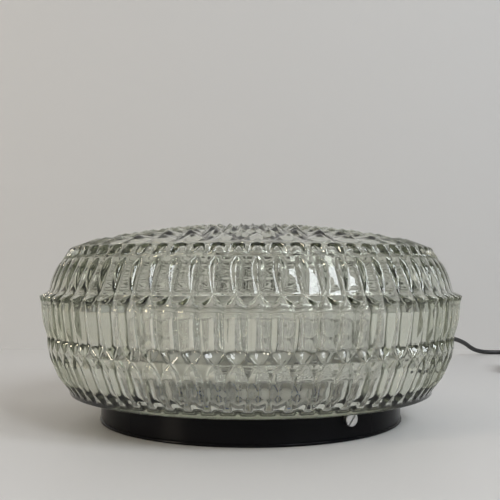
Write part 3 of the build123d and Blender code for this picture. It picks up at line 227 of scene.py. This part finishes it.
def cord_curve(name, points, radius):
    """One smooth open spline through a route's points, in millimetres, given a round section."""
    curve = bpy.data.curves.new(name, "CURVE")
    curve.dimensions = "3D"
    spline = curve.splines.new("NURBS")
    spline.points.add(len(points) - 1)
    for control, point in zip(spline.points, points):
        control.co = (point[0] * mm, point[1] * mm, point[2] * mm, 1)
    spline.order_u = 3
    spline.use_endpoint_u = True
    spline.resolution_u = 8
    curve.bevel_depth = radius * mm
    curve.bevel_resolution = 6
    curve.use_fill_caps = True
    made = bpy.data.objects.new(name, curve)
    bpy.context.collection.objects.link(made)
    return made


cord_r = 2.5
exit_angle = 55
pan_r = 100.8
sleeve_length = 24
sleeve_end = polar(exit_angle, pan_r + sleeve_length, 7.6)
switch_angle = 252
switch_half_length = 31
switch_way = Vector((cos(radians(switch_angle)), sin(radians(switch_angle)), 0))
switch_middle = Vector((272, 235, 7))
switch_entry = switch_middle - switch_way * switch_half_length
switch_exit = switch_middle + switch_way * switch_half_length
lead_points = [
    sleeve_end,
    sleeve_end + polar(exit_angle, 19, 0),
    (98, 141, 5.4),
    (112, 168, 3.0),
    (130, 199, cord_r),
    (147, 232, cord_r),
    (163, 262, 3.2),
    (183, 289, 8.5),
    (205, 316, 18.5),
    (227, 342, 24.5),
    (248, 367, 17.5),
    (264, 385, 7),
    (281, 397, cord_r),
    (303, 399, cord_r),
    (321, 386, cord_r),
    (327, 364, cord_r),
    (322, 338, cord_r),
    (309, 313, 4),
    switch_entry - switch_way * 25,
    switch_entry,
]
lamp_lead = cord_curve("lead_to_switch", lead_points, cord_r)

coil_middle = Vector((250, 10, 0))
coil_turns = 5.5
coil_inner_r = 21.0
coil_pitch = 5.6
coil_low_h = 3.5


def coil_point(turn):
    """A point of the coil's middle line, counted in turns from its outer end."""
    radius = coil_inner_r + coil_pitch * abs(turn - coil_turns / 2)
    climb = min(max(2 * (turn - coil_turns / 2) + 0.5, 0), 1)
    height = coil_low_h + coil_pitch * climb**2 * (3 - 2 * climb)
    return coil_middle + polar(180 + 360 * turn, radius, height)


def coil_way(turn):
    """The coil's direction there."""
    return (coil_point(turn + 0.01) - coil_point(turn - 0.01)).normalized()


points_per_turn = 16
coil_start = coil_point(0) - coil_way(0) * 2 * cord_r
side_points = [
    switch_exit,
    switch_exit + switch_way * 26,
    (242, 152, 3.4),
    (228, 122, cord_r),
    (217, 88, coil_low_h),
    coil_start - coil_way(0) * 35,
    coil_start,
]
coil_points = [coil_point(count / points_per_turn) for count in range(int(coil_turns * points_per_turn) + 1)]
coil_end = coil_point(coil_turns) + coil_way(coil_turns) * 38
plug_lead = cord_curve("lead_to_plug", side_points + coil_points + [coil_end], cord_r)

for cord in (lamp_lead, plug_lead):
    cord.data.materials.append(looks["black_sheath"])
    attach(cord, "lamp")
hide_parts("lamp_lead")
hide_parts("coil_lead", "cord_coil")

# Fine shade: the same rings as the solid's, with concave flutes and melted edges, in millimetres
flute_count = 72
first_flute_angle = 1.8
columns = 12
rim_h = 19.4
lower_ridge_h = 50.0
upper_ridge_h = 85.4
top_rim_h = 106.1
dome_edge_h = 113.4
crown_h = 128.6
apex_h = 130.3
top_rim_r = 125.4
dome_edge_r = 120.9
dome_rows = 6
dome_glass = 4.4
button_r = 26.0
flutes_per_petal = 6
petal_height = 2.0
slimmest_flute = 0.004
band_cut = 4.2
band_rise = 14.0
long_triangle = 0.27
short_triangle = 0.19
triangle_start = 0.15
cut_slope_width = 0.2
facet_notch = 1.8
facet_relief = 4.0
dome_sphere_r = (dome_edge_r**2 + (crown_h - dome_edge_h) ** 2) / (2 * (crown_h - dome_edge_h))
crest_line = [
    (19.4, 119.9), (22.8, 122.0), (24.0, 122.8), (31.7, 128.7), (43.0, 133.4), (50.0, 135.0),
    (57.0, 135.1), (64.5, 137.4), (69.0, 138.3), (78.1, 138.9), (82.6, 140.0), (85.4, 134.8),
    (87.0, 133.9), (90.9, 133.0), (95.5, 131.6), (100.2, 129.5), (103.5, 127.6), (106.1, 125.4),
]
# Low end, high end, half width of a flute, depth, length of its lower point and of its upper one, profile.
# The widest tier has its depth from waist_floor.
tiers = [
    (rim_h, lower_ridge_h, 0.48, 3.7, 11.0, 8.0, 1.6),
    (lower_ridge_h, upper_ridge_h, 0.485, 0.0, 6.0, 5.0, 1.6),
    (upper_ridge_h, top_rim_h, 0.26, 2.8, 14.5, 5.0, 2.0),
]
foot_depths = [(19.4, 0.0), (21.5, 0.2), (23.6, 1.5), (27.0, 3.2), (31.0, 3.7)]
waist_floor = [
    (50.0, 135.0), (52.5, 133.2), (55.0, 131.8), (57.0, 131.2), (64.5, 132.9), (69.0, 133.6), (78.1, 134.0),
    (85.4, 134.8),
]


def between(table, height):
    """A value read off a table of heights and values."""
    for (low, first), (high, second) in zip(table, table[1:]):
        if height <= high:
            return first + (second - first) * (height - low) / (high - low)
    return table[-1][1]


def steps(first, last, count):
    """Evenly spaced values, the last one left out."""
    return [first + (last - first) * index / count for index in range(count)]


def ring(radius_of, height_of, places=None):
    """The vertices of one row, its columns at even places in each flute unless others are given."""
    row = []
    places = places or [index / columns for index in range(columns)]
    for flute in range(flute_count):
        for place in places:
            turn = flute + place
            angle = radians(first_flute_angle + turn * 360 / flute_count)
            offset = (place + 0.5) % 1 - 0.5
            radius = radius_of(offset, turn)
            row.append((radius * cos(angle), radius * sin(angle), height_of(offset, turn)))
    return row


def flute_row(height):
    """A row of the three tiers: pointed flutes, the row's columns gathered at their borders."""
    low, high, full_half, full_depth, low_point, high_point, profile = next(
        tier for tier in tiers if height <= tier[1]
    )
    before_end = min((height - low) / low_point, (high - height) / high_point, 1)
    width = 1 - (1 - before_end) ** 1.5
    half = max(full_half * width, slimmest_flute)
    crest = between(crest_line, height)
    depth = full_depth * width
    band = 0
    if low == rim_h:
        depth = min(depth, between(foot_depths, height))
        band = 121.2 + 0.03 * (height - rim_h)
    elif low == lower_ridge_h:
        depth = max(crest - between(waist_floor, height), 0)
    side = [0, half / 4, half / 2, half * 3 / 4, half, (half + 0.5) / 2]
    places = side + [0.5] + [1 - place for place in side[:0:-1]]

    def radius_of(offset, turn):
        share = min(abs(offset) / half, 1)
        return max(crest - depth * (1 - share**profile), band)

    return ring(radius_of, lambda offset, turn: height, places)


def band_row(share):
    """A row of the cut band round the top: triangles left standing on the crests, deep cuts between them."""
    height = top_rim_h + (dome_edge_h - top_rim_h) * share
    radius = top_rim_r + (dome_edge_r - top_rim_r) * share

    def radius_of(offset, turn):
        full_half = long_triangle if int(turn + 0.5) % 2 else short_triangle
        half = full_half * max(share - triangle_start, 0) / 0.85
        beside = max(0.5 - abs(offset) - half, 0)
        cut = min(band_cut * min(beside / cut_slope_width, 1), band_rise * share)
        return radius - cut

    return ring(radius_of, lambda offset, turn: height)


def dome_row(count):
    """A row of the dome: staggered four-sided facets, raised in the middle."""
    radius = dome_edge_r - (dome_edge_r - button_r) * count / dome_rows
    height = crown_h - dome_sphere_r + sqrt(dome_sphere_r**2 - radius**2)

    def height_of(offset, turn):
        place = turn / 2
        rise = -facet_notch * min(count, 1)
        for middle in range(int(count), int(count) + 2):
            shift = 0.5 if middle % 2 == 0 else 0.0
            aside = abs((place - shift + 0.5) % 1 - 0.5)
            reach = abs(count - middle) + 2 * aside
            if reach < 1 and 0 < middle < dome_rows:
                rise += facet_relief * (1 - reach)
        return height + rise

    return ring(lambda offset, turn: radius, height_of)


def petal_row(radius, phase):
    """A row of the middle button: twelve petals that rise between the rims of the button."""
    height = apex_h - 2.4 * (radius / button_r) ** 2
    swell = petal_height * sin(pi * min(radius / button_r, 1))

    return ring(
        lambda offset, turn: radius,
        lambda offset, turn: height - swell * (1 - abs(cos(pi * (turn + 3 * phase) / flutes_per_petal))),
    )


def plain_row(radius, height):
    """A round row."""
    return ring(lambda offset, turn: radius, lambda offset, turn: height)


def rounded(points, passes):
    """A line of points with its corners cut again and again."""
    for _ in range(passes):
        line = [points[0]]
        for (r0, h0), (r1, h1) in zip(points, points[1:]):
            line.append((r0 * 0.75 + r1 * 0.25, h0 * 0.75 + h1 * 0.25))
            line.append((r0 * 0.25 + r1 * 0.75, h0 * 0.25 + h1 * 0.75))
        points = line + [points[-1]]
    return points


inner_dome = [
    (radius, crown_h - dome_sphere_r + sqrt((dome_sphere_r - dome_glass) ** 2 - radius**2))
    for radius in (20, 45, 70, 92, 106)
]
inner_wall = [
    (111.3, 109.9), (115.8, 101.7), (124.6, 89.8), (129.4, 80.5), (129.8, 74.0), (128.0, 64.5), (125.5, 43.0),
]
inner_foot = [(120.5, 31.5), (117.0, 26.0), (115.0, 23.4), (97.0, 21.6), (92.0, 19.5), (92.0, 12.4)]
under_side = [
    (92.0, 12.4), (92.6, 11.0), (93.6, 10.8), (94.6, 10.8), (95.7, 11.1), (96.0, 12.2), (96.0, 17.8),
    (104.0, 17.8), (119.6, 19.2), (120.7, 19.4),
]
heights = steps(rim_h + 0.3, 22.0, 4) + steps(22.0, 31.0, 13) + steps(31.0, 43.0, 8) + steps(43.0, 49.6, 8)
heights += [49.6, 50.0, 50.4] + steps(51.0, 64.5, 13) + steps(64.5, 79.0, 8) + steps(79.0, 82.6, 6)
heights += steps(82.6, 85.1, 6) + [85.1, 85.4, 85.8] + steps(86.4, 95.5, 10) + steps(95.5, 102.5, 5)
heights += steps(102.5, 105.8, 5) + [105.8, 106.05]

rows = [plain_row(*point) for point in rounded(inner_dome + inner_wall + inner_foot, 2)[1:]]
rows += [plain_row(*point) for point in under_side[1:]]
rows += [flute_row(height) for height in heights]
rows += [band_row(share) for share in steps(0, 1, 8)]
rows += [dome_row(count) for count in steps(0, dome_rows, 48)]
petal_radii = (26.0, 24.5, 22.0, 18.0, 14.5, 11.0, 7.5, 4.5)
rows += [petal_row(radius, radius * 0.6 / button_r) for radius in petal_radii]

ring_size = flute_count * columns
vertices = [vertex for row in rows for vertex in row]
inner_apex = len(vertices)
vertices += [(0, 0, crown_h - dome_glass), (0, 0, apex_h)]
faces = []
for row in range(len(rows) - 1):
    for column in range(ring_size):
        following = (column + 1) % ring_size
        low, high = row * ring_size, (row + 1) * ring_size
        faces.append((low + column, low + following, high + following, high + column))
last = (len(rows) - 1) * ring_size
for column in range(ring_size):
    following = (column + 1) % ring_size
    faces.append((inner_apex, following, column))
    faces.append((last + column, last + following, inner_apex + 1))
shade_mesh = bpy.data.meshes.new("fluted_shade")
shade_mesh.from_pydata([(x * mm, y * mm, z * mm) for x, y, z in vertices], [], faces)
shade_mesh.shade_smooth()
shade_mesh.materials.append(looks["shade_glass"])
shade = bpy.data.objects.new("fluted_shade", shade_mesh)
bpy.context.collection.objects.link(shade)
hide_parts("glass_shade", "shade_neck")
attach(shade, "shade")


# Floor and wall behind
def stage_sheet(name, corners, look):
    """A flat sheet that is no part of the lamp."""
    mesh = bpy.data.meshes.new(name)
    mesh.from_pydata(corners, [], [tuple(range(len(corners)))])
    mesh.materials.append(look)
    made = bpy.data.objects.new(name, mesh)
    bpy.context.collection.objects.link(made)


stage_half = 4
wall_y = 0.46
wall_top = 3
floor_look, _, floor_shader = material("pale_floor")
floor_shader.inputs["Base Color"].default_value = (0.66, 0.65, 0.64, 1)
floor_shader.inputs["Roughness"].default_value = 0.45
floor_corners = [
    (-stage_half, -stage_half, 0), (stage_half, -stage_half, 0),
    (stage_half, stage_half, 0), (-stage_half, stage_half, 0),
]
stage_sheet("floor", floor_corners, floor_look)

wall_look, wall_tree, wall_shader = material("pale_wall")
wall_shader.inputs["Base Color"].default_value = (0.53, 0.53, 0.53, 1)
wall_shader.inputs["Roughness"].default_value = 0.9
# From behind the wall is clear, so that it doesn't hide the lamp
geometry = add_node(wall_tree, "ShaderNodeNewGeometry")
clear = add_node(wall_tree, "ShaderNodeBsdfTransparent")
one_sided = add_node(wall_tree, "ShaderNodeMixShader")
wall_tree.links.new(geometry.outputs["Backfacing"], one_sided.inputs["Fac"])
wall_tree.links.new(wall_shader.outputs["BSDF"], one_sided.inputs[1])
wall_tree.links.new(clear.outputs["BSDF"], one_sided.inputs[2])
wall_tree.links.new(one_sided.outputs["Shader"], wall_tree.nodes["Material Output"].inputs["Surface"])
wall_corners = [
    (-stage_half, wall_y, 0), (stage_half, wall_y, 0),
    (stage_half, wall_y, wall_top), (-stage_half, wall_y, wall_top),
]
stage_sheet("wall", wall_corners, wall_look)


# Light
def area_light(name, place, target, size, power, colour):
    """A soft rectangular light."""
    data = bpy.data.lights.new(name, "AREA")
    data.shape = "RECTANGLE"
    data.size, data.size_y = size
    data.energy = power
    data.color = colour
    made = bpy.data.objects.new(name, data)
    made.location = place
    made.rotation_euler = (Vector(target) - Vector(place)).to_track_quat("-Z", "Y").to_euler()
    bpy.context.collection.objects.link(made)


shade_middle = (0, 0, 0.08)
pane_size = (0.42, 1.0)
pane_power = 16.5
pane_colour = (0.90, 0.95, 1.0)
area_light("window_left", (-1.7, -1.1, 0.5), shade_middle, (0.4, 0.5), 19, (1.0, 0.87, 0.70))
area_light("right_pane", (0.95, -1.5, 1.3), shade_middle, pane_size, pane_power, pane_colour)
area_light("far_right_pane", (1.42, -1.06, 1.3), shade_middle, pane_size, pane_power, pane_colour)
area_light("ceiling", (0, 0.1, 2.4), (0, 0, 0), (3.2, 3.2), 21.5, (1.0, 0.97, 0.94))

world = bpy.data.worlds.new("room")
bpy.context.scene.world = world
world.use_nodes = True
sky = world.node_tree
background = sky.nodes["Background"]
place = add_node(sky, "ShaderNodeTexCoord")
split = add_node(sky, "ShaderNodeSeparateXYZ")
sky.links.new(place.outputs["Generated"], split.inputs["Vector"])
room_colours = [(0.0, (0.05, 0.035, 0.02)), (0.45, (0.10, 0.09, 0.07)), (1.0, (0.34, 0.33, 0.30))]
sky.links.new(ramp(sky, split.outputs["Z"], room_colours), background.inputs["Color"])
background.inputs["Strength"].default_value = 0.45
# A pale room behind the object, which the glass and the metal show as well
pale = add_node(sky, "ShaderNodeBackground", Strength=1.0)
pale.inputs["Color"].default_value = (0.40, 0.40, 0.39, 1)
path = add_node(sky, "ShaderNodeLightPath")
mirrored = math_node(sky, "MAXIMUM", path.outputs["Is Glossy Ray"], path.outputs["Is Transmission Ray"])
shown = math_node(sky, "MAXIMUM", path.outputs["Is Camera Ray"], mirrored)
seen = add_node(sky, "ShaderNodeMixShader")
sky.links.new(shown, seen.inputs["Fac"])
sky.links.new(background.outputs["Background"], seen.inputs[1])
sky.links.new(pale.outputs["Background"], seen.inputs[2])
sky.links.new(seen.outputs["Shader"], sky.nodes["World Output"].inputs["Surface"])
